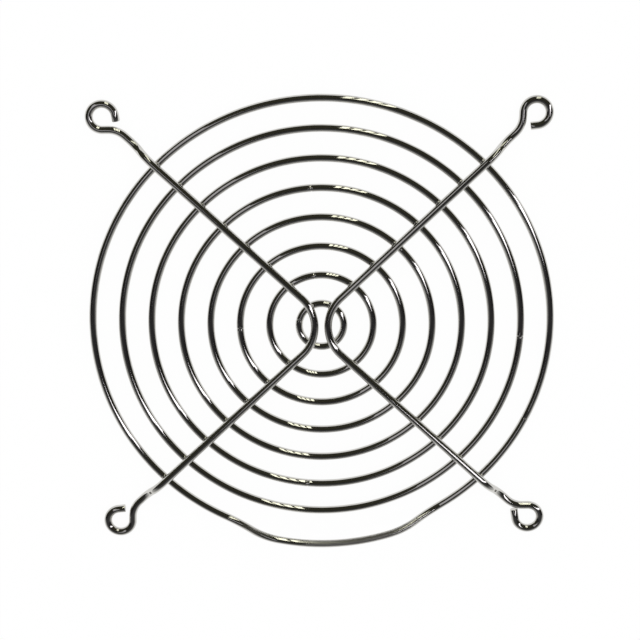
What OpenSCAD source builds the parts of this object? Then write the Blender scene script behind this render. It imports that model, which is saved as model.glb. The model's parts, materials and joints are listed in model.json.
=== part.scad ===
// Wire guard for a 120 mm axial fan: eight round rings welded behind two bent
// struts, whose ends step back to the fan frame and close into screw eyes.
// +Z faces away from the fan. The four eyes rest on z = 0, and the origin is
// the middle of the square of fixing holes.

/* [Fixing eyes] */
// Distance between neighbouring fixing holes
hole_pitch = 105; // [104:0.1:108]
// Radius of the clear bore in an eye
eye_bore_r = 2.25; // [2.15:0.05:2.5]
// Depth of the flat that the forming pin leaves inside an eye
pin_flat = 0.07; // [0.06:0.01:0.12]
// How far the eye sits to the left of its arm, seen along the arm
eye_offset = 0.25; // [0:0.05:0.6]
// Angle by which the wire swings left before it curls into the eye
neck_swing = 44; // [40:1:50]
// Bend radius of that swing
neck_bend_r = 6; // [4.5:0.25:6.5]
// Angle through which the wire curls round the forming pin
eye_curl = 262; // [250:1:268]
// Space between the wire's end and its own neck: upper left eye
upper_left_gap = 1.0; // [0.05:0.05:1.4]
// The same space at the lower left eye
lower_left_gap = 0.85; // [0.05:0.05:1.4]
// The same space at the upper right eye
upper_right_gap = 0.9; // [0.05:0.05:1.4]
// The same space at the lower right eye, which is almost shut
lower_right_gap = 0.05; // [0.05:0.05:1.4]

/* [Struts] */
// Diameter of the strut wire
strut_wire_d = 2; // [1.6:0.1:2.2]
// Distance from the centre to the point where a strut's two arms would meet
hub_crossing = 2.9; // [2.7:0.1:3.6]
// Bend radius at the hub
hub_bend_r = 10; // [8:0.5:12]
// How far the struts stand in front of their eyes
step_height = 3.25; // [2.5:0.05:4]
// Length of the slope between the two levels
step_length = 8.2; // [7:0.1:8.4]
// Distance from the outer ring's centreline to the start of the slope
step_start = 0.9; // [0.6:0.1:1.2]

/* [Rings] */
// Diameter of the ring wire
ring_wire_d = 1.9; // [1.4:0.1:2]
// Centreline radius of the smallest ring
inner_ring_r = 5.55; // [5.2:0.05:6]
// Distance between the centrelines of neighbouring rings
ring_pitch = 7.33; // [7.1:0.01:7.4]
// Depth by which a weld sinks the struts into the rings
weld_sink = 0.3; // [0.1:0.05:0.5]

/* [Raised arc of the outer ring] */
// Height of the raised arc above the rest of the ring
lift_height = 4.7; // [2:0.1:6]
// Direction of the middle of the raised arc, from the X axis
lift_direction = 272.7; // [265:0.1:276]
// Angle of the part that is at full height
lift_top_angle = 28.3; // [20:0.1:34]
// Angle of the slope at each end
lift_ramp_angle = 15; // [12:0.5:17]

/* [Hidden] */

ring_spaces = 7;
steel = [0.72, 0.72, 0.7];
wire_sides = 24;
sweep_sides = 96;

// Straights are drawn a hair thinner than bends, and reach a little way into
// them, so that no two surfaces are tangent where they meet.
hair = 0.02;
run_in = 0.05;

hole = hole_pitch / 2;
eye_r = eye_bore_r - pin_flat + strut_wire_d / 2;
eye_z = strut_wire_d / 2;
strut_z = eye_z + step_height;
ring_z = strut_z - (strut_wire_d + ring_wire_d) / 2 + weld_sink;
outer_ring_r = inner_ring_r + ring_spaces * ring_pitch;

// An arm starts at the crossing point of its strut's two arms and passes its
// eye at a small distance. Angles are from the X axis.
arm_reach = norm([hole + hub_crossing, hole]);
hole_direction = atan2(hole, hole + hub_crossing);
arm_aside = asin(eye_offset / arm_reach);
upper_arm_angle = hole_direction - arm_aside;
lower_arm_angle = hole_direction + arm_aside;
eye_from_crossing = arm_reach * cos(arm_aside);

// Lengths along an arm, from the crossing point.
function from_crossing(r, arm_angle) =
    hub_crossing * cos(arm_angle)
    + sqrt(r ^ 2 - (hub_crossing * sin(arm_angle)) ^ 2);
function step_from_crossing(arm_angle) =
    from_crossing(outer_ring_r + step_start, arm_angle);
arm_start = hub_bend_r * tan(90 - (upper_arm_angle + lower_arm_angle) / 2);

// The step is two equal bends, one down and one level again.
step_bend = 2 * atan(step_height / step_length);
step_bend_r = step_length / (2 * sin(step_bend));

// The neck swings left, runs straight and then curls right round the pin.
neck_run = (eye_offset + eye_r * cos(neck_swing)
    - neck_bend_r * (1 - cos(neck_swing))) / sin(neck_swing);
neck_reach = (neck_bend_r + eye_r) * sin(neck_swing) + neck_run * cos(neck_swing);

// The tail leaves the pin in a straight line and stops short of the neck. In
// the plane of the eye, X runs along the neck and the curl starts at [0, 0].
function tail_length(gap) =
    let (
        heading = [cos(eye_curl), -sin(eye_curl)],
        start = eye_r * [sin(eye_curl), cos(eye_curl) - 1],
        corner = start + strut_wire_d / 2 * [heading.y, -heading.x],
        from_bend = corner - [-neck_run, neck_bend_r],
        along = from_bend * heading,
        clear_of_bend = neck_bend_r + strut_wire_d / 2 + gap
    )
    -along - sqrt(along ^ 2 - from_bend * from_bend + clear_of_bend ^ 2);

// Ends of the raised arc and of its slopes, as directions from the centre.
lift_top = [lift_direction - lift_top_angle / 2, lift_direction + lift_top_angle / 2];
lift_foot = [lift_top[0] - lift_ramp_angle, lift_top[1] + lift_ramp_angle];

function on_outer_ring(angle, height) =
    [outer_ring_r * cos(angle), outer_ring_r * sin(angle), height];
function along_ring(angle) = [-sin(angle), cos(angle), 0];

// The point where two arcs join that lead smoothly from one point and heading
// to another.
function joint_of_arcs(p, p_heading, q, q_heading) =
    let (
        span = q - p,
        headings = p_heading + q_heading,
        a = 2 * (1 - p_heading * q_heading),
        b = span * headings,
        handle = (sqrt(b ^ 2 + a * (span * span)) - b) / a
    )
    (p + q + handle * (p_heading - q_heading)) / 2;
function unit(v) = v / norm(v);

// The heading at the far end of an arc that leaves p along p_heading.
function heading_after(p, p_heading, q) =
    let (chord = unit(q - p))
    2 * (chord * p_heading) * chord - p_heading;

module wire_section(d) {
    circle(d = d, $fn = wire_sides);
}

// A straight from the origin along X. Children stand at its far end.
module straight(length, d) {
    translate([-2 * run_in, 0, 0]) rotate([0, 90, 0])
        linear_extrude(length + 4 * run_in) wire_section(d - hair);
    translate([length, 0, 0]) children();
}

// A bend from the origin, which starts along X and turns left by the angle, or
// right if it is negative. Children stand at its far end.
module bend(r, angle, d) {
    side = sign(angle);
    trim = run_in / r * 180 / PI;
    translate([0, side * r, 0]) {
        rotate([0, 0, side * (trim - 90)])
            rotate_extrude(angle = angle - side * 2 * trim, $fn = sweep_sides)
                translate([r, 0]) wire_section(d);
        rotate([0, 0, angle]) translate([0, -side * r, 0]) children();
    }
}

// The fall from the level of the struts to the level of the eyes.
module step_down() {
    rotate([-90, 0, 0])
        bend(step_bend_r, step_bend, strut_wire_d)
        straight(0, strut_wire_d)
        bend(step_bend_r, -step_bend, strut_wire_d)
        rotate([90, 0, 0]) children();
}

// The part of an arm that crosses the rings, up to the start of its step.
module arm_across_rings(arm_angle) {
    straight(step_from_crossing(arm_angle) - arm_start, strut_wire_d) children();
}

// The neck and the eye, from the foot of the step.
module eye(arm_angle, gap) {
    lead = eye_from_crossing - neck_reach
        - step_from_crossing(arm_angle) - step_length;
    straight(lead, strut_wire_d)
        bend(neck_bend_r, neck_swing, strut_wire_d)
        straight(neck_run, strut_wire_d)
        bend(eye_r, -eye_curl, strut_wire_d)
        straight(tail_length(gap) - 2 * run_in, strut_wire_d);
}

module arm(arm_angle, gap) {
    arm_across_rings(arm_angle) step_down() eye(arm_angle, gap);
}

// Puts its children at the inner end of the right strut's upper arm.
module at_upper_arm() {
    translate([-hub_crossing, 0, strut_z]) rotate([0, 0, upper_arm_angle])
        translate([arm_start, 0, 0]) children();
}

// The bend at the hub, from the upper arm to the lower. Children stand at the
// inner end of the lower arm.
module hub_bend() {
    rotate([0, 0, 180])
        bend(hub_bend_r, 180 - upper_arm_angle - lower_arm_angle, strut_wire_d)
        children();
}

// The bore that the forming pin leaves in each eye.
module eye_bores() {
    for (y = [-hole, hole])
        translate([hole, y, -strut_wire_d / 2])
            cylinder(r = eye_bore_r, h = 2 * strut_wire_d, $fn = sweep_sides);
}

// The strut on the +X side.
module strut(upper_gap, lower_gap) {
    difference() {
        at_upper_arm() {
            arm(upper_arm_angle, upper_gap);
            hub_bend() arm(lower_arm_angle, lower_gap);
        }
        eye_bores();
    }
}

// What sinks into the rings: both struts between their steps.
module struts_across_rings() {
    for (turn = [0, 180])
        rotate([0, 0, turn]) at_upper_arm() {
            arm_across_rings(upper_arm_angle);
            hub_bend() arm_across_rings(lower_arm_angle);
        }
}

module ring(number) {
    color(steel) difference() {
        translate([0, 0, ring_z]) rotate_extrude($fn = sweep_sides)
            translate([inner_ring_r + (number - 1) * ring_pitch, 0])
            wire_section(ring_wire_d);
        struts_across_rings();
    }
}

// The arc that leaves p along a heading and ends at q, and the short pin that
// joins it to the next.
module arc_between(p, heading, q) {
    chord = q - p;
    half_turn = acos(heading * unit(chord));
    r = norm(chord) / (2 * sin(half_turn));
    up = unit(cross(heading, chord));
    left = cross(up, heading);
    multmatrix([
        [heading.x, left.x, up.x, p.x],
        [heading.y, left.y, up.y, p.y],
        [heading.z, left.z, up.z, p.z]
    ])
        bend(r, 2 * half_turn, ring_wire_d) straight(0, ring_wire_d);
}

// One slope of the raised arc, made of two arcs.
module ramp(from_angle, from_height, to_angle, to_height) {
    start = on_outer_ring(from_angle, from_height);
    start_heading = along_ring(from_angle);
    end = on_outer_ring(to_angle, to_height);
    middle = joint_of_arcs(start, start_heading, end, along_ring(to_angle));
    arc_between(start, start_heading, middle);
    arc_between(middle, heading_after(start, start_heading, middle), end);
}

// A level stretch of the outer ring.
module level_arc(from_angle, to_angle, height) {
    translate(on_outer_ring(from_angle, height)) rotate([0, 0, from_angle + 90])
        bend(outer_ring_r, to_angle - from_angle, ring_wire_d)
        straight(0, ring_wire_d);
}

module outer_ring() {
    high = ring_z + lift_height;
    color(steel) difference() {
        union() {
            level_arc(lift_foot[1] - 360, lift_foot[0], ring_z);
            ramp(lift_foot[0], ring_z, lift_top[0], high);
            level_arc(lift_top[0], lift_top[1], high);
            ramp(lift_top[1], high, lift_foot[1], ring_z);
        }
        struts_across_rings();
    }
}

module left_strut() {
    color(steel) rotate([0, 0, 180]) strut(lower_left_gap, upper_left_gap);
}

module right_strut() {
    color(steel) strut(upper_right_gap, lower_right_gap);
}

ring(1);  // ring_1
ring(2);  // ring_2
ring(3);  // ring_3
ring(4);  // ring_4
ring(5);  // ring_5
ring(6);  // ring_6
ring(7);  // ring_7
outer_ring();
left_strut();
right_strut();
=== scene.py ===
"""Looks of a chrome-plated wire guard for a 120 mm fan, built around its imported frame.

The guard is eight round rings welded behind two bent struts. Every wire is
grown from a circle of its own section by extruding and spinning, bend by bend.
"""
import json
import math

import bpy
from mathutils import Matrix, Quaternion, Vector

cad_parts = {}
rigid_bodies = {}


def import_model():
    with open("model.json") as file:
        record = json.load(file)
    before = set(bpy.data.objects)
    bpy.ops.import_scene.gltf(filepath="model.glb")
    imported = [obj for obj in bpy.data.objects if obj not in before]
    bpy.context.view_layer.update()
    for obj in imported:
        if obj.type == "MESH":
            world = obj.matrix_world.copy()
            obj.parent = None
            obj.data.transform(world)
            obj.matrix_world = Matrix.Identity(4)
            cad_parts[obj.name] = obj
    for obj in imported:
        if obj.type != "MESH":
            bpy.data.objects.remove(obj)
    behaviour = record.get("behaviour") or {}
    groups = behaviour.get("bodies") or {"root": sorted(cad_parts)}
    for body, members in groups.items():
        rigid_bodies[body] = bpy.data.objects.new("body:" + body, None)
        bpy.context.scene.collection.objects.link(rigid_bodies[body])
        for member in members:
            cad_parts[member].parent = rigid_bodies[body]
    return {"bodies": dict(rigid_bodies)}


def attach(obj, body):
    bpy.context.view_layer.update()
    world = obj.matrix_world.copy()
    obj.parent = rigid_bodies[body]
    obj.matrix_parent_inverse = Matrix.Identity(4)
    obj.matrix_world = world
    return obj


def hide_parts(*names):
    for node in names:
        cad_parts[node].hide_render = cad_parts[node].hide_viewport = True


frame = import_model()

bl_info = {
    "name": "Wire fan guard",
    "version": (1, 0, 0),
    "blender": (4, 5, 0),
    "location": "3D View > Sidebar > Fan Guard",
    "description": "Builds the plated wires, the welds and the stage of a wire fan guard",
    "category": "Object",
}

BODY = sorted(frame["bodies"])[0]
UP = Vector((0, 0, 1))
RING_COUNT = 8

# The skin of the wires: sides of a section, usual and closer spacing of the
# sections round a bend, the angle up to which faces look smooth, and the
# distance below which two points are one.
WIRE_SIDES = 32
SECTION_TURN = math.radians(3.75)
CLOSER = 0.5
CLOSEST = 0.3
SMOOTH_ANGLE = math.radians(38)
SAME_PLACE = 2e-6

# The butt weld of a ring: half the width of its groove, and the wire's
# thickness in the groove and at its edges, as shares of the wire's radius.
GROOVE = 0.35
NECK = 0.95
BULGE = 1.015

# A cut end: length of its rounded rim, and the wire's thickness along the rim.
RIM_LENGTH = 0.00012
RIM_STEPS = (0.97, 0.93)

# A weld bead: its half sizes, and how it is pinched near its middle.
BEAD_R = 0.001
BEAD_SHAPE = (1.3, 0.62, 0.5)
BEAD_WAIST = 0.0005
BEAD_PINCH = (1, 0.85, 0.8)

# Where the press dulled the raised arc: heights above the other rings, and
# the places along X and Y at which the dull part starts and is full.
DULL_HEIGHTS = (0.0008, 0.003)
DULL_RIGHT_END = (-0.008, -0.003)
DULL_SLOPES = (-0.0555, -0.0535)

# How much rougher the plating is where it is hazy.
HAZE_GAIN = 1.8

# A mix node has one set of sockets for each kind of data. These mix colours.
MIX_INPUTS = (6, 7)
MIX_OUTPUT = 2

# The mirrored room, by the Y and Z of the direction in which a ray leaves.
ROOM_BLEND = (-0.3, 0.25)
WALL_BLEND = (-0.15, -0.5)
WALL_FOOT, WALL_FALL, WALL_TOP = 0.75, 1.05, 0.065
HORIZON = (0.03, 0.0)

# Hanging lights: the two ends and the width on a ceiling one metre up, and the
# radiance. The ceiling itself is higher, and all is enlarged with it.
CEILING = 3.0
NEAR_LIGHT = ((0.27, -0.18), (0.74, 0.06), 0.1, 2.9)
LONG_LIGHT = ((0.72, 0.06), (3.4, 1.17), 0.22, 2.4)
DIM_LIGHT = ((-0.12, -0.22), (-0.66, 0.6), 0.2, 0.5)

# Upright lights: first direction and step, width, heights of both ends, all in
# degrees, then their distance and radiance.
UPRIGHT_COUNT = 4
UPRIGHT_FIRST, UPRIGHT_STEP, UPRIGHT_WIDTH = 67.4, 4.4, 2.9
UPRIGHT_ENDS = (7, 60)
UPRIGHT_DISTANCE = 3.0
UPRIGHT_RADIANCE = 2.1

FLOOR_SIZE = 12

# The camera, fitted to the round rings and to the square of the four eyes.
CAMERA_PLACE = (0.00266, 0.12491, 0.4255)
CAMERA_TURN = tuple(math.radians(x) for x in (-16.299, 0.215, -0.66))


def length(name, text, default):
    """A size in metres that a user may change."""
    return bpy.props.FloatProperty(
        name=name, description=text, default=default, min=0, precision=5,
        subtype="DISTANCE", unit="LENGTH",
    )


def angle(name, text, degrees):
    """An angle that a user may change."""
    return bpy.props.FloatProperty(
        name=name, description=text, default=math.radians(degrees),
        subtype="ANGLE", unit="ROTATION",
    )


def share(name, text, default):
    """A plain number from 0 to 1 that a user may change."""
    return bpy.props.FloatProperty(
        name=name, description=text, default=default, min=0, max=1, precision=3,
    )


def colour(name, text, default):
    """A colour that a user may change."""
    return bpy.props.FloatVectorProperty(
        name=name, description=text, default=default, size=3, min=0, max=1,
        subtype="COLOR",
    )


class GuardSizes(bpy.types.PropertyGroup):
    """Sizes of the wires and of their bends."""

    hole_pitch: length("Hole pitch", "Distance between neighbouring fixing holes", 0.105)
    eye_bore_r: length("Eye bore radius", "Radius of the clear bore in an eye", 0.00225)
    pin_flat: length("Pin flat", "Depth of the flat left inside an eye", 0.00007)
    eye_offset: length("Eye offset", "How far an eye sits to the left of its arm", 0.00025)
    neck_swing: angle("Neck swing", "Angle by which the wire swings before an eye", 44)
    neck_bend_r: length("Neck bend radius", "Bend radius of that swing", 0.006)
    eye_curl: angle("Eye curl", "Angle through which the wire curls into an eye", 262)
    upper_left_gap: length("Upper left gap", "Space between wire end and neck", 0.001)
    lower_left_gap: length("Lower left gap", "Space between wire end and neck", 0.00085)
    upper_right_gap: length("Upper right gap", "Space between wire end and neck", 0.0009)
    lower_right_gap: length("Lower right gap", "Space between wire end and neck", 0.00005)
    strut_wire_d: length("Strut wire", "Diameter of the strut wire", 0.002)
    hub_crossing: length("Hub crossing", "Centre to where two arms would meet", 0.0029)
    hub_bend_r: length("Hub bend radius", "Bend radius of a strut at the hub", 0.01)
    step_height: length("Step height", "How far the struts stand above their eyes", 0.00325)
    step_length: length("Step length", "Length of the slope between the levels", 0.0082)
    step_start: length("Step start", "Outer ring to the start of the slope", 0.0009)
    ring_wire_d: length("Ring wire", "Diameter of the ring wire", 0.0019)
    inner_ring_r: length("Inner ring radius", "Radius of the smallest ring", 0.00555)
    ring_pitch: length("Ring pitch", "Distance between neighbouring rings", 0.00733)
    weld_sink: length("Weld sink", "Depth by which the welds sink the struts", 0.0003)
    lift_height: length("Lift height", "Height of the raised arc of the outer ring", 0.0047)
    lift_direction: angle("Lift direction", "Direction of the raised arc", 272.7)
    lift_top_angle: angle("Lift top angle", "Angle of the part at full height", 28.3)
    lift_ramp_angle: angle("Lift ramp angle", "Angle of the slope at each end", 15)


class GuardFinish(bpy.types.PropertyGroup):
    """Colours and finish of the plating."""

    plating: colour("Plating", "Colour of the bright plating", (0.62, 0.61, 0.58))
    haze: colour("Haze", "Colour of the plating where it is hazy", (0.52, 0.51, 0.48))
    roughness: share("Roughness", "Roughness of the clean plating", 0.035)
    pressed_roughness: share("Pressed roughness", "Roughness of the raised arc", 0.3)
    weld_roughness: share("Weld roughness", "Roughness of the plated welds", 0.22)


class GuardStage(bpy.types.PropertyGroup):
    """Floor, lights and camera around the guard."""

    floor_colour: colour("Floor", "Colour of the floor", (0.95, 0.95, 0.95))
    floor_glow: share("Floor glow", "Share of the floor that shows as plain white", 0.96)
    soft_level: share("Soft level", "Strength of the soft light from all round", 0.9)
    near_room: colour("Near room", "Dim room on the near side", (0.017, 0.016, 0.019))
    far_room: colour("Far room", "Dim room on the far side", (0.036, 0.035, 0.024))
    cool_light: colour("Cool light", "Colour of the hanging lights", (0.96, 0.94, 1.0))
    warm_light: colour("Warm light", "Colour of the upright lights", (1.0, 1.0, 0.82))
    lens: bpy.props.FloatProperty(
        name="Lens", description="Focal length of the camera", default=99.63,
        min=1, unit="CAMERA",
    )


def unit_at(turn):
    """The level direction at that angle from the X axis."""
    return Vector((math.cos(turn), math.sin(turn), 0))


class Layout:
    """Heights, radii and directions that follow from the sizes."""

    def __init__(self, s):
        hole = s.hole_pitch / 2
        self.strut_r = s.strut_wire_d / 2
        self.ring_wire_r = s.ring_wire_d / 2
        self.eye_r = s.eye_bore_r - s.pin_flat + self.strut_r
        self.strut_z = self.strut_r + s.step_height
        self.ring_z = self.strut_z - self.strut_r - self.ring_wire_r + s.weld_sink
        self.rings = [s.inner_ring_r + i * s.ring_pitch for i in range(RING_COUNT)]
        self.outer_r = self.rings[-1]
        reach = math.hypot(hole + s.hub_crossing, hole)
        towards_hole = math.atan2(hole, hole + s.hub_crossing)
        aside = math.asin(s.eye_offset / reach)
        self.upper = towards_hole - aside
        self.lower = towards_hole + aside
        self.eye_from_crossing = reach * math.cos(aside)
        half_hub = math.pi / 2 - (self.upper + self.lower) / 2
        self.arm_start = s.hub_bend_r * math.tan(half_hub)
        self.hub_turn = math.pi - self.upper - self.lower
        self.crossing = Vector((-s.hub_crossing, 0, self.strut_z))
        self.step_bend = 2 * math.atan(s.step_height / s.step_length)
        self.step_bend_r = s.step_length / (2 * math.sin(self.step_bend))
        swing = s.neck_swing
        self.neck_run = (
            s.eye_offset + self.eye_r * math.cos(swing)
            - s.neck_bend_r * (1 - math.cos(swing))
        ) / math.sin(swing)
        self.neck_reach = (
            (s.neck_bend_r + self.eye_r) * math.sin(swing)
            + self.neck_run * math.cos(swing)
        )
        self.sizes = s

    def from_crossing(self, r, arm):
        """Distance along an arm, from the crossing point, at that radius."""
        c = self.sizes.hub_crossing
        return c * math.cos(arm) + math.sqrt(r * r - (c * math.sin(arm)) ** 2)

    def step_from_crossing(self, arm):
        """Distance along an arm at which its step starts."""
        return self.from_crossing(self.outer_r + self.sizes.step_start, arm)

    def tail_length(self, gap):
        """Length of the straight tail that leaves that gap to the neck."""
        s = self.sizes
        heading = Vector((math.cos(s.eye_curl), -math.sin(s.eye_curl)))
        start = self.eye_r * Vector((math.sin(s.eye_curl), math.cos(s.eye_curl) - 1))
        corner = start + self.strut_r * Vector((heading.y, -heading.x))
        from_bend = corner - Vector((-self.neck_run, s.neck_bend_r))
        along = from_bend.dot(heading)
        clear = s.neck_bend_r + self.strut_r + gap
        return -along - math.sqrt(along ** 2 - from_bend.length_squared + clear ** 2)


class Wire:
    """A round wire that grows section by section, in edit mode."""

    def __init__(self, name, start, heading, wire_r):
        bpy.ops.object.select_all(action="DESELECT")
        bpy.ops.mesh.primitive_circle_add(
            vertices=WIRE_SIDES, radius=wire_r, fill_type="NOTHING", location=start,
            rotation=heading.to_track_quat("Z", "X").to_euler(),
        )
        self.piece = bpy.context.object
        self.piece.name = name
        bpy.ops.object.transform_apply(location=True, rotation=True, scale=True)
        bpy.ops.object.mode_set(mode="EDIT")
        bpy.ops.mesh.select_mode(type="VERT")
        bpy.ops.mesh.select_all(action="SELECT")
        self.place = Vector(start)
        self.heading = Vector(heading).normalized()

    def straight(self, distance):
        """Runs straight ahead."""
        step = self.heading * distance
        bpy.ops.mesh.extrude_region_move(TRANSFORM_OT_translate={"value": step})
        self.place += step

    def turn(self, by, radius, axis=UP, spacing=1.0):
        """Bends to the left round the axis, or to the right if the angle is negative."""
        side = 1 if by > 0 else -1
        to_centre = side * radius * axis.cross(self.heading).normalized()
        centre = self.place + to_centre
        steps = max(2, math.ceil(abs(by) / (SECTION_TURN * spacing)))
        bpy.ops.mesh.spin(steps=steps, angle=abs(by), center=centre, axis=-side * axis)
        turned = Quaternion(axis, by)
        self.place = centre + turned @ (self.place - centre)
        self.heading = turned @ self.heading

    def arc_to(self, point):
        """Bends along the one arc that leaves straight ahead and ends at the point."""
        chord = point - self.place
        axis = self.heading.cross(chord).normalized()
        half = self.heading.angle(chord)
        self.turn(2 * half, chord.length / (2 * math.sin(half)), axis, spacing=CLOSEST)

    def swell(self, share_of_radius):
        """Makes the last section thicker or thinner."""
        k = share_of_radius
        bpy.ops.transform.resize(value=(k, k, k), center_override=self.place)

    def cut_end(self):
        """Ends in a square cut with a slightly rounded rim."""
        for thickness in RIM_STEPS:
            self.straight(RIM_LENGTH / len(RIM_STEPS))
            self.swell(thickness)
        bpy.ops.mesh.edge_face_add()

    def back_to_start(self, start, heading):
        """Selects the first section again, to grow the wire the other way."""
        bpy.ops.mesh.select_all(action="DESELECT")
        bpy.ops.object.mode_set(mode="OBJECT")
        for vertex in self.piece.data.vertices[:WIRE_SIDES]:
            vertex.select = True
        bpy.ops.object.mode_set(mode="EDIT")
        self.place = Vector(start)
        self.heading = Vector(heading).normalized()

    def finish(self):
        """Closes the wire's skin and leaves edit mode."""
        bpy.ops.mesh.select_all(action="SELECT")
        bpy.ops.mesh.remove_doubles(threshold=SAME_PLACE)
        bpy.ops.mesh.normals_make_consistent(inside=False)
        bpy.ops.object.mode_set(mode="OBJECT")
        bpy.ops.object.shade_smooth_by_angle(angle=SMOOTH_ANGLE)
        return self.piece


def closed_ring(name, radius, z, wire_r, seam):
    """A ring from its butt weld round to it again."""
    start = radius * unit_at(seam) + Vector((0, 0, z))
    groove = GROOVE * wire_r / radius
    wire = Wire(name, start, unit_at(seam + math.pi / 2), wire_r * NECK)
    bends = (
        (groove, BULGE / NECK), (groove, 1 / BULGE), (2 * math.pi - 4 * groove, 1),
        (groove, BULGE), (groove, NECK / BULGE),
    )
    for by, growth in bends:
        wire.turn(by, radius, spacing=CLOSEST)
        wire.swell(growth)
    return wire.finish()


def half_turn(piece):
    """Turns a piece half round the guard's middle."""
    bpy.ops.object.select_all(action="DESELECT")
    piece.select_set(True)
    bpy.context.view_layer.objects.active = piece
    piece.rotation_euler.z = math.pi
    bpy.ops.object.transform_apply(location=False, rotation=True, scale=False)


def dress(piece, material):
    """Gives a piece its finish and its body."""
    piece.data.materials.clear()
    piece.data.materials.append(material)
    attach(piece, BODY)


def add_node(tree, kind, **values):
    """A node with the given settings and input values, by their names."""
    node = tree.nodes.new(kind)
    for name, value in values.items():
        if hasattr(node, name):
            setattr(node, name, value)
        else:
            node.inputs[name.replace("_", " ")].default_value = value
    return node


def math_node(tree, operation, first, second):
    """The output of a math node. Either value is a number or another output."""
    node = tree.nodes.new("ShaderNodeMath")
    node.operation = operation
    for socket, value in zip(node.inputs, (first, second)):
        if isinstance(value, (int, float)):
            socket.default_value = value
        else:
            tree.links.new(value, socket)
    return node.outputs[0]


def ramp_node(tree, value, low, high):
    """The output of a smooth ramp from 0 at low to 1 at high."""
    node = tree.nodes.new("ShaderNodeMapRange")
    node.interpolation_type = "SMOOTHSTEP"
    node.inputs["From Min"].default_value = low
    node.inputs["From Max"].default_value = high
    tree.links.new(value, node.inputs["Value"])
    return node.outputs["Result"]


def blend_node(tree, factor, first, second):
    """The output of a mix of two colours, each a colour or another output."""
    node = tree.nodes.new("ShaderNodeMix")
    node.data_type = "RGBA"
    tree.links.new(factor, node.inputs["Factor"])
    for number, value in zip(MIX_INPUTS, (first, second)):
        socket = node.inputs[number]
        if isinstance(value, bpy.types.NodeSocket):
            tree.links.new(value, socket)
        else:
            socket.default_value = (*value, 1)
    return node.outputs[MIX_OUTPUT]


def plating_group():
    """The node group that all plated wire shares."""
    group = bpy.data.node_groups.get("plated_wire_surface")
    if group:
        return group
    group = bpy.data.node_groups.new("plated_wire_surface", "ShaderNodeTree")
    sockets = group.interface
    sockets.new_socket("Vector", in_out="INPUT", socket_type="NodeSocketVector")
    for name in ("Plating", "Haze"):
        sockets.new_socket(name, in_out="INPUT", socket_type="NodeSocketColor")
    for name in ("Clean Roughness", "Haze Roughness"):
        sockets.new_socket(name, in_out="INPUT", socket_type="NodeSocketFloat")
    sockets.new_socket("Color", in_out="OUTPUT", socket_type="NodeSocketColor")
    sockets.new_socket("Roughness", in_out="OUTPUT", socket_type="NodeSocketFloat")
    sockets.new_socket("Height", in_out="OUTPUT", socket_type="NodeSocketFloat")
    given = group.nodes.new("NodeGroupInput")
    made = group.nodes.new("NodeGroupOutput")
    link = group.links.new
    cloud = add_node(group, "ShaderNodeTexNoise", Scale=190.0, Detail=3.0, Roughness=0.55)
    link(given.outputs["Vector"], cloud.inputs["Vector"])
    patch = add_node(group, "ShaderNodeMapRange", From_Min=0.45, From_Max=0.72)
    link(cloud.outputs["Fac"], patch.inputs["Value"])
    tint = blend_node(
        group, patch.outputs["Result"], given.outputs["Plating"], given.outputs["Haze"]
    )
    link(tint, made.inputs["Color"])
    rough = add_node(group, "ShaderNodeMix", data_type="FLOAT")
    link(patch.outputs["Result"], rough.inputs["Factor"])
    link(given.outputs["Clean Roughness"], rough.inputs["A"])
    link(given.outputs["Haze Roughness"], rough.inputs["B"])
    link(rough.outputs["Result"], made.inputs["Roughness"])
    waves = add_node(group, "ShaderNodeTexNoise", Scale=700.0, Detail=2.0, Roughness=0.5)
    link(given.outputs["Vector"], waves.inputs["Vector"])
    link(waves.outputs["Fac"], made.inputs["Height"])
    return group


def pressed_share(tree, place, low, high):
    """How far the wire is dulled where the press raised it, by its height."""
    split = tree.nodes.new("ShaderNodeSeparateXYZ")
    tree.links.new(place, split.inputs["Vector"])
    raised = ramp_node(tree, split.outputs["Z"], low, high)
    right_end = ramp_node(tree, split.outputs["X"], *DULL_RIGHT_END)
    slopes = ramp_node(tree, split.outputs["Y"], *DULL_SLOPES)
    side = math_node(tree, "MAXIMUM", right_end, slopes)
    return math_node(tree, "MULTIPLY", raised, side)


def plated_material(name, finish, roughness, raised=None):
    """A plated finish. Raised gives the heights between which it turns dull."""
    material = bpy.data.materials.get(name)
    if material:
        return material
    material = bpy.data.materials.new(name)
    material.use_nodes = True
    tree = material.node_tree
    shader = tree.nodes["Principled BSDF"]
    shader.inputs["Metallic"].default_value = 1.0
    place = tree.nodes.new("ShaderNodeTexCoord")
    surface = tree.nodes.new("ShaderNodeGroup")
    surface.node_tree = plating_group()
    surface.inputs["Plating"].default_value = (*finish.plating, 1)
    surface.inputs["Haze"].default_value = (*finish.haze, 1)
    surface.inputs["Clean Roughness"].default_value = roughness
    surface.inputs["Haze Roughness"].default_value = roughness * HAZE_GAIN
    link = tree.links.new
    link(place.outputs["Object"], surface.inputs["Vector"])
    link(surface.outputs["Color"], shader.inputs["Base Color"])
    if raised:
        dulled = add_node(tree, "ShaderNodeMix", data_type="FLOAT")
        dull = pressed_share(tree, place.outputs["Object"], *raised)
        link(dull, dulled.inputs["Factor"])
        link(surface.outputs["Roughness"], dulled.inputs["A"])
        dulled.inputs["B"].default_value = finish.pressed_roughness
        link(dulled.outputs["Result"], shader.inputs["Roughness"])
    else:
        link(surface.outputs["Roughness"], shader.inputs["Roughness"])
    bump = add_node(tree, "ShaderNodeBump", Strength=0.1, Distance=0.00002)
    link(surface.outputs["Height"], bump.inputs["Height"])
    link(bump.outputs["Normal"], shader.inputs["Normal"])
    return material


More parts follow.
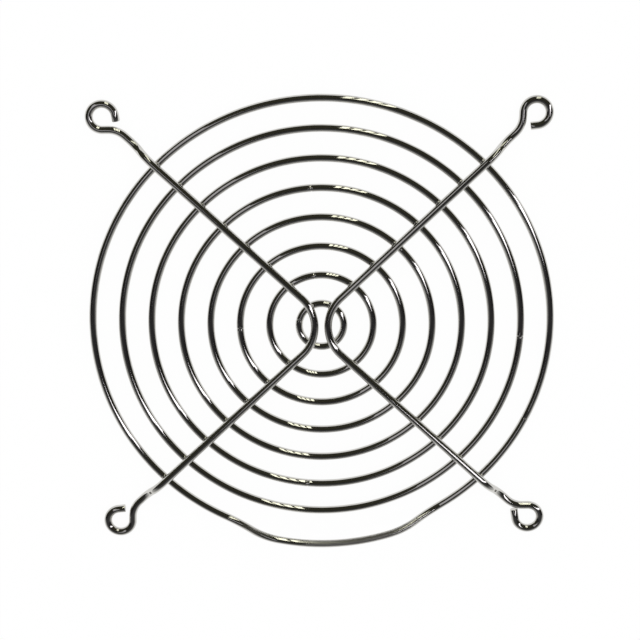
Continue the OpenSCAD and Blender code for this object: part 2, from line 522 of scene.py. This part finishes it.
class GUARD_OT_rings(bpy.types.Operator):
    """Builds the seven plain rings"""

    bl_idname = "guard.rings"
    bl_label = "Plain rings"

    # Where the butt weld of each ring lies, from the hub outwards, in degrees.
    SEAMS = (164.5, 96.6, 181.6, 45.0, 93.3, 264.5, -4.0)

    def execute(self, context):
        scene = context.scene
        plan = Layout(scene.guard_sizes)
        finish = scene.guard_finish
        material = plated_material("bright_ring_plating", finish, finish.roughness)
        for i, seam in enumerate(self.SEAMS):
            piece = closed_ring(
                f"ring_wire_{i + 1}", plan.rings[i], plan.ring_z, plan.ring_wire_r,
                math.radians(seam),
            )
            dress(piece, material)
            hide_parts(f"ring_{i + 1}")
        return {"FINISHED"}


class GUARD_OT_outer_ring(bpy.types.Operator):
    """Builds the outer ring with its raised arc"""

    bl_idname = "guard.outer_ring"
    bl_label = "Outer ring"

    # Where its butt weld lies, in degrees.
    SEAM = -26

    def execute(self, context):
        scene = context.scene
        s = scene.guard_sizes
        plan = Layout(s)
        half_top = s.lift_top_angle / 2
        top = (s.lift_direction - half_top, s.lift_direction + half_top)
        foot = (top[0] - s.lift_ramp_angle, top[1] + s.lift_ramp_angle)
        low, high = plan.ring_z, plan.ring_z + s.lift_height

        def on_ring(turn, z):
            return plan.outer_r * unit_at(turn) + Vector((0, 0, z))

        def slope(wire, to_turn, to_z):
            """Two arcs that lead to a point, level and along the ring."""
            p, q = wire.place, on_ring(to_turn, to_z)
            t, u = wire.heading, unit_at(to_turn + math.pi / 2)
            span, both = q - p, t + u
            a, b = 2 * (1 - t.dot(u)), (q - p).dot(both)
            handle = (math.sqrt(b * b + a * span.length_squared) - b) / a
            wire.arc_to((p + q + handle * (t - u)) / 2)
            wire.arc_to(q)
            wire.heading = u

        seam = math.radians(self.SEAM)
        groove = GROOVE * plan.ring_wire_r / plan.outer_r
        wire = Wire(
            "outer_ring_wire", on_ring(seam, low), unit_at(seam + math.pi / 2),
            plan.ring_wire_r * NECK,
        )
        wire.turn(groove, plan.outer_r, spacing=CLOSEST)
        wire.swell(1 / NECK)
        wire.turn(foot[0] - seam - groove, plan.outer_r, spacing=CLOSER)
        slope(wire, top[0], high)
        wire.turn(s.lift_top_angle, plan.outer_r, spacing=CLOSEST)
        slope(wire, foot[1], low)
        last_turn = seam + 2 * math.pi - groove - foot[1]
        wire.turn(last_turn, plan.outer_r, spacing=CLOSER)
        wire.turn(groove, plan.outer_r, spacing=CLOSEST)
        wire.swell(NECK)
        piece = wire.finish()
        finish = scene.guard_finish
        material = plated_material(
            "bright_outer_ring_plating", finish, finish.roughness,
            [low + height for height in DULL_HEIGHTS],
        )
        dress(piece, material)
        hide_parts("outer_ring")
        return {"FINISHED"}


class GUARD_OT_struts(bpy.types.Operator):
    """Builds the two struts with their steps and eyes"""

    bl_idname = "guard.struts"
    bl_label = "Struts"

    def grow_arm(self, wire, plan, arm, gap):
        """One arm from its start at the hub to the cut end of its eye."""
        s = plan.sizes
        wire.straight(plan.step_from_crossing(arm) - plan.arm_start)
        across = UP.cross(wire.heading)
        wire.turn(plan.step_bend, plan.step_bend_r, across)
        wire.turn(-plan.step_bend, plan.step_bend_r, across)
        wire.straight(
            plan.eye_from_crossing - plan.neck_reach
            - plan.step_from_crossing(arm) - s.step_length
        )
        wire.turn(s.neck_swing, s.neck_bend_r)
        wire.straight(plan.neck_run)
        wire.turn(-s.eye_curl, plan.eye_r)
        wire.straight(plan.tail_length(gap) - RIM_LENGTH)
        wire.cut_end()

    def strut(self, plan, name, upper_gap, lower_gap):
        """A strut on the right, from its upper arm round the hub to its lower arm."""
        out = unit_at(plan.upper)
        start = plan.crossing + plan.arm_start * out
        wire = Wire(name, start, out, plan.strut_r)
        self.grow_arm(wire, plan, plan.upper, upper_gap)
        wire.back_to_start(start, -out)
        wire.turn(plan.hub_turn, plan.sizes.hub_bend_r)
        self.grow_arm(wire, plan, plan.lower, lower_gap)
        return wire.finish()

    def execute(self, context):
        scene = context.scene
        s = scene.guard_sizes
        plan = Layout(s)
        finish = scene.guard_finish
        material = plated_material("bright_strut_plating", finish, finish.roughness)
        right = self.strut(plan, "right_strut_wire", s.upper_right_gap, s.lower_right_gap)
        left = self.strut(plan, "left_strut_wire", s.lower_left_gap, s.upper_left_gap)
        half_turn(left)
        for piece, node in ((right, "right_strut"), (left, "left_strut")):
            dress(piece, material)
            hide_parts(node)
        return {"FINISHED"}


class GUARD_OT_welds(bpy.types.Operator):
    """Builds the small beads where the struts are welded to the rings"""

    bl_idname = "guard.welds"
    bl_label = "Welds"

    def bead(self):
        """One bead that lies along the X axis, pinched where the strut sinks in."""
        bpy.ops.object.select_all(action="DESELECT")
        bpy.ops.mesh.primitive_uv_sphere_add(segments=24, ring_count=12, radius=BEAD_R)
        bpy.ops.object.mode_set(mode="EDIT")
        bpy.ops.mesh.select_all(action="SELECT")
        bpy.ops.transform.resize(value=BEAD_SHAPE, center_override=(0, 0, 0))
        bpy.ops.object.mode_set(mode="OBJECT")
        bead = bpy.context.object
        for part in (bead.data.polygons, bead.data.edges):
            for element in part:
                element.select = False
        for vertex in bead.data.vertices:
            vertex.select = abs(vertex.co.x) < BEAD_WAIST
        bpy.ops.object.mode_set(mode="EDIT")
        bpy.ops.transform.resize(value=BEAD_PINCH, center_override=(0, 0, 0))
        bpy.ops.object.mode_set(mode="OBJECT")
        bpy.ops.object.shade_smooth()
        return bead

    def weld_places(self, plan):
        """Places of the crossings of the right strut with the rings."""
        s = plan.sizes
        centre = -s.hub_crossing + s.hub_bend_r / math.cos(plan.hub_turn / 2)
        r = plan.rings[0]
        x = (centre ** 2 + r * r - s.hub_bend_r ** 2) / (2 * centre)
        y = math.sqrt(r * r - x * x)
        places = [Vector((x, y, 0)), Vector((x, -y, 0))]
        for arm in (plan.upper, -plan.lower):
            for r in plan.rings[1:]:
                at = plan.from_crossing(r, abs(arm)) * unit_at(arm)
                places.append(at - Vector((s.hub_crossing, 0, 0)))
        return places

    def execute(self, context):
        scene = context.scene
        s = scene.guard_sizes
        plan = Layout(s)
        finish = scene.guard_finish
        material = plated_material("bright_weld_plating", finish, finish.weld_roughness)
        contact = plan.strut_z - plan.strut_r + s.weld_sink / 2
        first = self.bead()
        for name, turned in (("right_strut_welds", False), ("left_strut_welds", True)):
            bpy.ops.object.select_all(action="DESELECT")
            for at in self.weld_places(plan):
                piece = first.copy()
                piece.data = first.data.copy()
                scene.collection.objects.link(piece)
                piece.location = (at.x, at.y, contact)
                piece.rotation_euler.z = math.atan2(at.y, at.x) + math.pi / 2
                piece.select_set(True)
                context.view_layer.objects.active = piece
            bpy.ops.object.join()
            bpy.ops.object.transform_apply(location=True, rotation=True, scale=True)
            piece = context.object
            piece.name = name
            if turned:
                half_turn(piece)
            dress(piece, material)
        bpy.data.objects.remove(first)
        return {"FINISHED"}


def seen_rays(tree):
    """1 for mirrored or transmitted rays, and 1 for these and straight ones."""
    rays = tree.nodes.new("ShaderNodeLightPath").outputs
    bent = rays["Is Transmission Ray"]
    mirrored = math_node(tree, "MAXIMUM", rays["Is Glossy Ray"], bent)
    return mirrored, math_node(tree, "MAXIMUM", rays["Is Camera Ray"], mirrored)


def surroundings(stage):
    """A white backdrop. Shiny wire also mirrors the dim room above and behind it."""
    world = bpy.data.worlds.new("studio")
    bpy.context.scene.world = world
    world.use_nodes = True
    tree = world.node_tree
    place = tree.nodes.new("ShaderNodeTexCoord")
    split = tree.nodes.new("ShaderNodeSeparateXYZ")
    tree.links.new(place.outputs["Generated"], split.inputs["Vector"])
    along, height = split.outputs["Y"], split.outputs["Z"]
    room = blend_node(
        tree, ramp_node(tree, along, *ROOM_BLEND), stage.near_room, stage.far_room
    )
    fall = math_node(tree, "MULTIPLY", height, WALL_FALL)
    grey = math_node(tree, "SUBTRACT", WALL_FOOT, fall)
    grey = math_node(tree, "MAXIMUM", grey, WALL_TOP)
    tint = tree.nodes.new("ShaderNodeCombineColor")
    for socket in tint.inputs:
        tree.links.new(grey, socket)
    room = blend_node(tree, ramp_node(tree, along, *WALL_BLEND), room, tint.outputs[0])
    room = blend_node(tree, ramp_node(tree, height, *HORIZON), room, (1, 1, 1))
    mirrored, seen = seen_rays(tree)
    backdrop = blend_node(tree, mirrored, (1, 1, 1), room)
    level = stage.soft_level
    colour_out = blend_node(tree, seen, (level, level, level), backdrop)
    tree.links.new(colour_out, tree.nodes["Background"].inputs["Color"])


def floor_material(stage):
    """A pale matt floor that stays white and keeps a soft shadow."""
    material = bpy.data.materials.new("pale_floor")
    material.use_nodes = True
    tree = material.node_tree
    matt = tree.nodes["Principled BSDF"]
    matt.inputs["Base Color"].default_value = (*stage.floor_colour, 1)
    matt.inputs["Roughness"].default_value = 0.9
    matt.inputs["Specular IOR Level"].default_value = 0.0
    glow = tree.nodes.new("ShaderNodeEmission")
    glow.inputs["Strength"].default_value = 1.0
    mix = tree.nodes.new("ShaderNodeMixShader")
    seen = seen_rays(tree)[1]
    tree.links.new(math_node(tree, "MULTIPLY", seen, stage.floor_glow), mix.inputs[0])
    tree.links.new(matt.outputs[0], mix.inputs[1])
    tree.links.new(glow.outputs[0], mix.inputs[2])
    tree.links.new(mix.outputs[0], tree.nodes["Material Output"].inputs["Surface"])
    return material


def soft_light(name, centre, across, back, size, radiance, tint):
    """A rectangular light. Its first size runs along across, and it shines against back."""
    light = bpy.data.lights.new(name, "AREA")
    light.shape = "RECTANGLE"
    light.size, light.size_y = size
    light.energy = radiance * math.pi * size[0] * size[1]
    light.color = tint
    lamp = bpy.data.objects.new(name, light)
    upwards = back.cross(across)
    turn = Matrix((across, upwards, back)).transposed().to_4x4()
    lamp.matrix_world = Matrix.Translation(centre) @ turn
    lamp.visible_camera = False
    bpy.context.scene.collection.objects.link(lamp)


def ceiling_light(name, start, end, width, radiance, tint):
    """A long light that hangs level, from one point to another on the ceiling."""
    start, end = Vector((*start, 1)) * CEILING, Vector((*end, 1)) * CEILING
    run = end - start
    size = (run.length, width * CEILING)
    soft_light(name, (start + end) / 2, run.normalized(), UP, size, radiance, tint)


def standing_light(name, azimuth, tint):
    """An upright light in that direction, in degrees from the X axis."""
    back = unit_at(math.radians(azimuth))
    bottom, top = (
        UPRIGHT_DISTANCE * math.tan(math.radians(end)) for end in UPRIGHT_ENDS
    )
    centre = UPRIGHT_DISTANCE * back + Vector((0, 0, (bottom + top) / 2))
    half_width = UPRIGHT_DISTANCE * math.tan(math.radians(UPRIGHT_WIDTH / 2))
    size = (2 * half_width, top - bottom)
    soft_light(name, centre, UP.cross(back), back, size, UPRIGHT_RADIANCE, tint)


class GUARD_OT_stage(bpy.types.Operator):
    """Sets up the floor, the lights, the surroundings and the camera"""

    bl_idname = "guard.stage"
    bl_label = "Stage"

    def execute(self, context):
        scene = context.scene
        stage = scene.guard_stage
        bpy.ops.object.select_all(action="DESELECT")
        bpy.ops.mesh.primitive_plane_add(size=FLOOR_SIZE, location=(0, 0, 0))
        floor = context.object
        floor.name = "floor"
        floor.data.materials.append(floor_material(stage))
        surroundings(stage)
        ceiling_light("near_light", *NEAR_LIGHT, stage.cool_light)
        ceiling_light("long_light", *LONG_LIGHT, stage.cool_light)
        ceiling_light("dim_light", *DIM_LIGHT, stage.cool_light)
        for i in range(UPRIGHT_COUNT):
            azimuth = UPRIGHT_FIRST + UPRIGHT_STEP * i
            standing_light(f"upright_light_{i + 1}", azimuth, stage.warm_light)
        camera = bpy.data.cameras.new("camera")
        camera.sensor_width = 36
        camera.lens = stage.lens
        camera.clip_start, camera.clip_end = 0.01, 50
        holder = bpy.data.objects.new("camera", camera)
        holder.location = CAMERA_PLACE
        holder.rotation_euler = CAMERA_TURN
        scene.collection.objects.link(holder)
        scene.camera = holder
        scene.view_settings.view_transform = "Standard"
        return {"FINISHED"}


class GUARD_PT_panel(bpy.types.Panel):
    """Steps that build the fan guard"""

    bl_label = "Fan Guard"
    bl_space_type = "VIEW_3D"
    bl_region_type = "UI"
    bl_category = "Fan Guard"

    def draw(self, context):
        for operator in OPERATORS:
            self.layout.operator(operator.bl_idname)
        for group in ("guard_sizes", "guard_finish", "guard_stage"):
            values = getattr(context.scene, group)
            box = self.layout.box()
            for name in values.__annotations__:
                box.prop(values, name)


OPERATORS = (
    GUARD_OT_rings, GUARD_OT_outer_ring, GUARD_OT_struts, GUARD_OT_welds, GUARD_OT_stage,
)
CLASSES = (GuardSizes, GuardFinish, GuardStage, *OPERATORS, GUARD_PT_panel)


def register():
    for cls in CLASSES:
        bpy.utils.register_class(cls)
    scene = bpy.types.Scene
    scene.guard_sizes = bpy.props.PointerProperty(type=GuardSizes)
    scene.guard_finish = bpy.props.PointerProperty(type=GuardFinish)
    scene.guard_stage = bpy.props.PointerProperty(type=GuardStage)


def unregister():
    for name in ("guard_sizes", "guard_finish", "guard_stage"):
        delattr(bpy.types.Scene, name)
    for cls in reversed(CLASSES):
        bpy.utils.unregister_class(cls)


def main():
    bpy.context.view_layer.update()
    register()
    bpy.ops.guard.rings()
    bpy.ops.guard.outer_ring()
    bpy.ops.guard.struts()
    bpy.ops.guard.welds()
    bpy.ops.guard.stage()


if __name__ == "__main__":
    main()
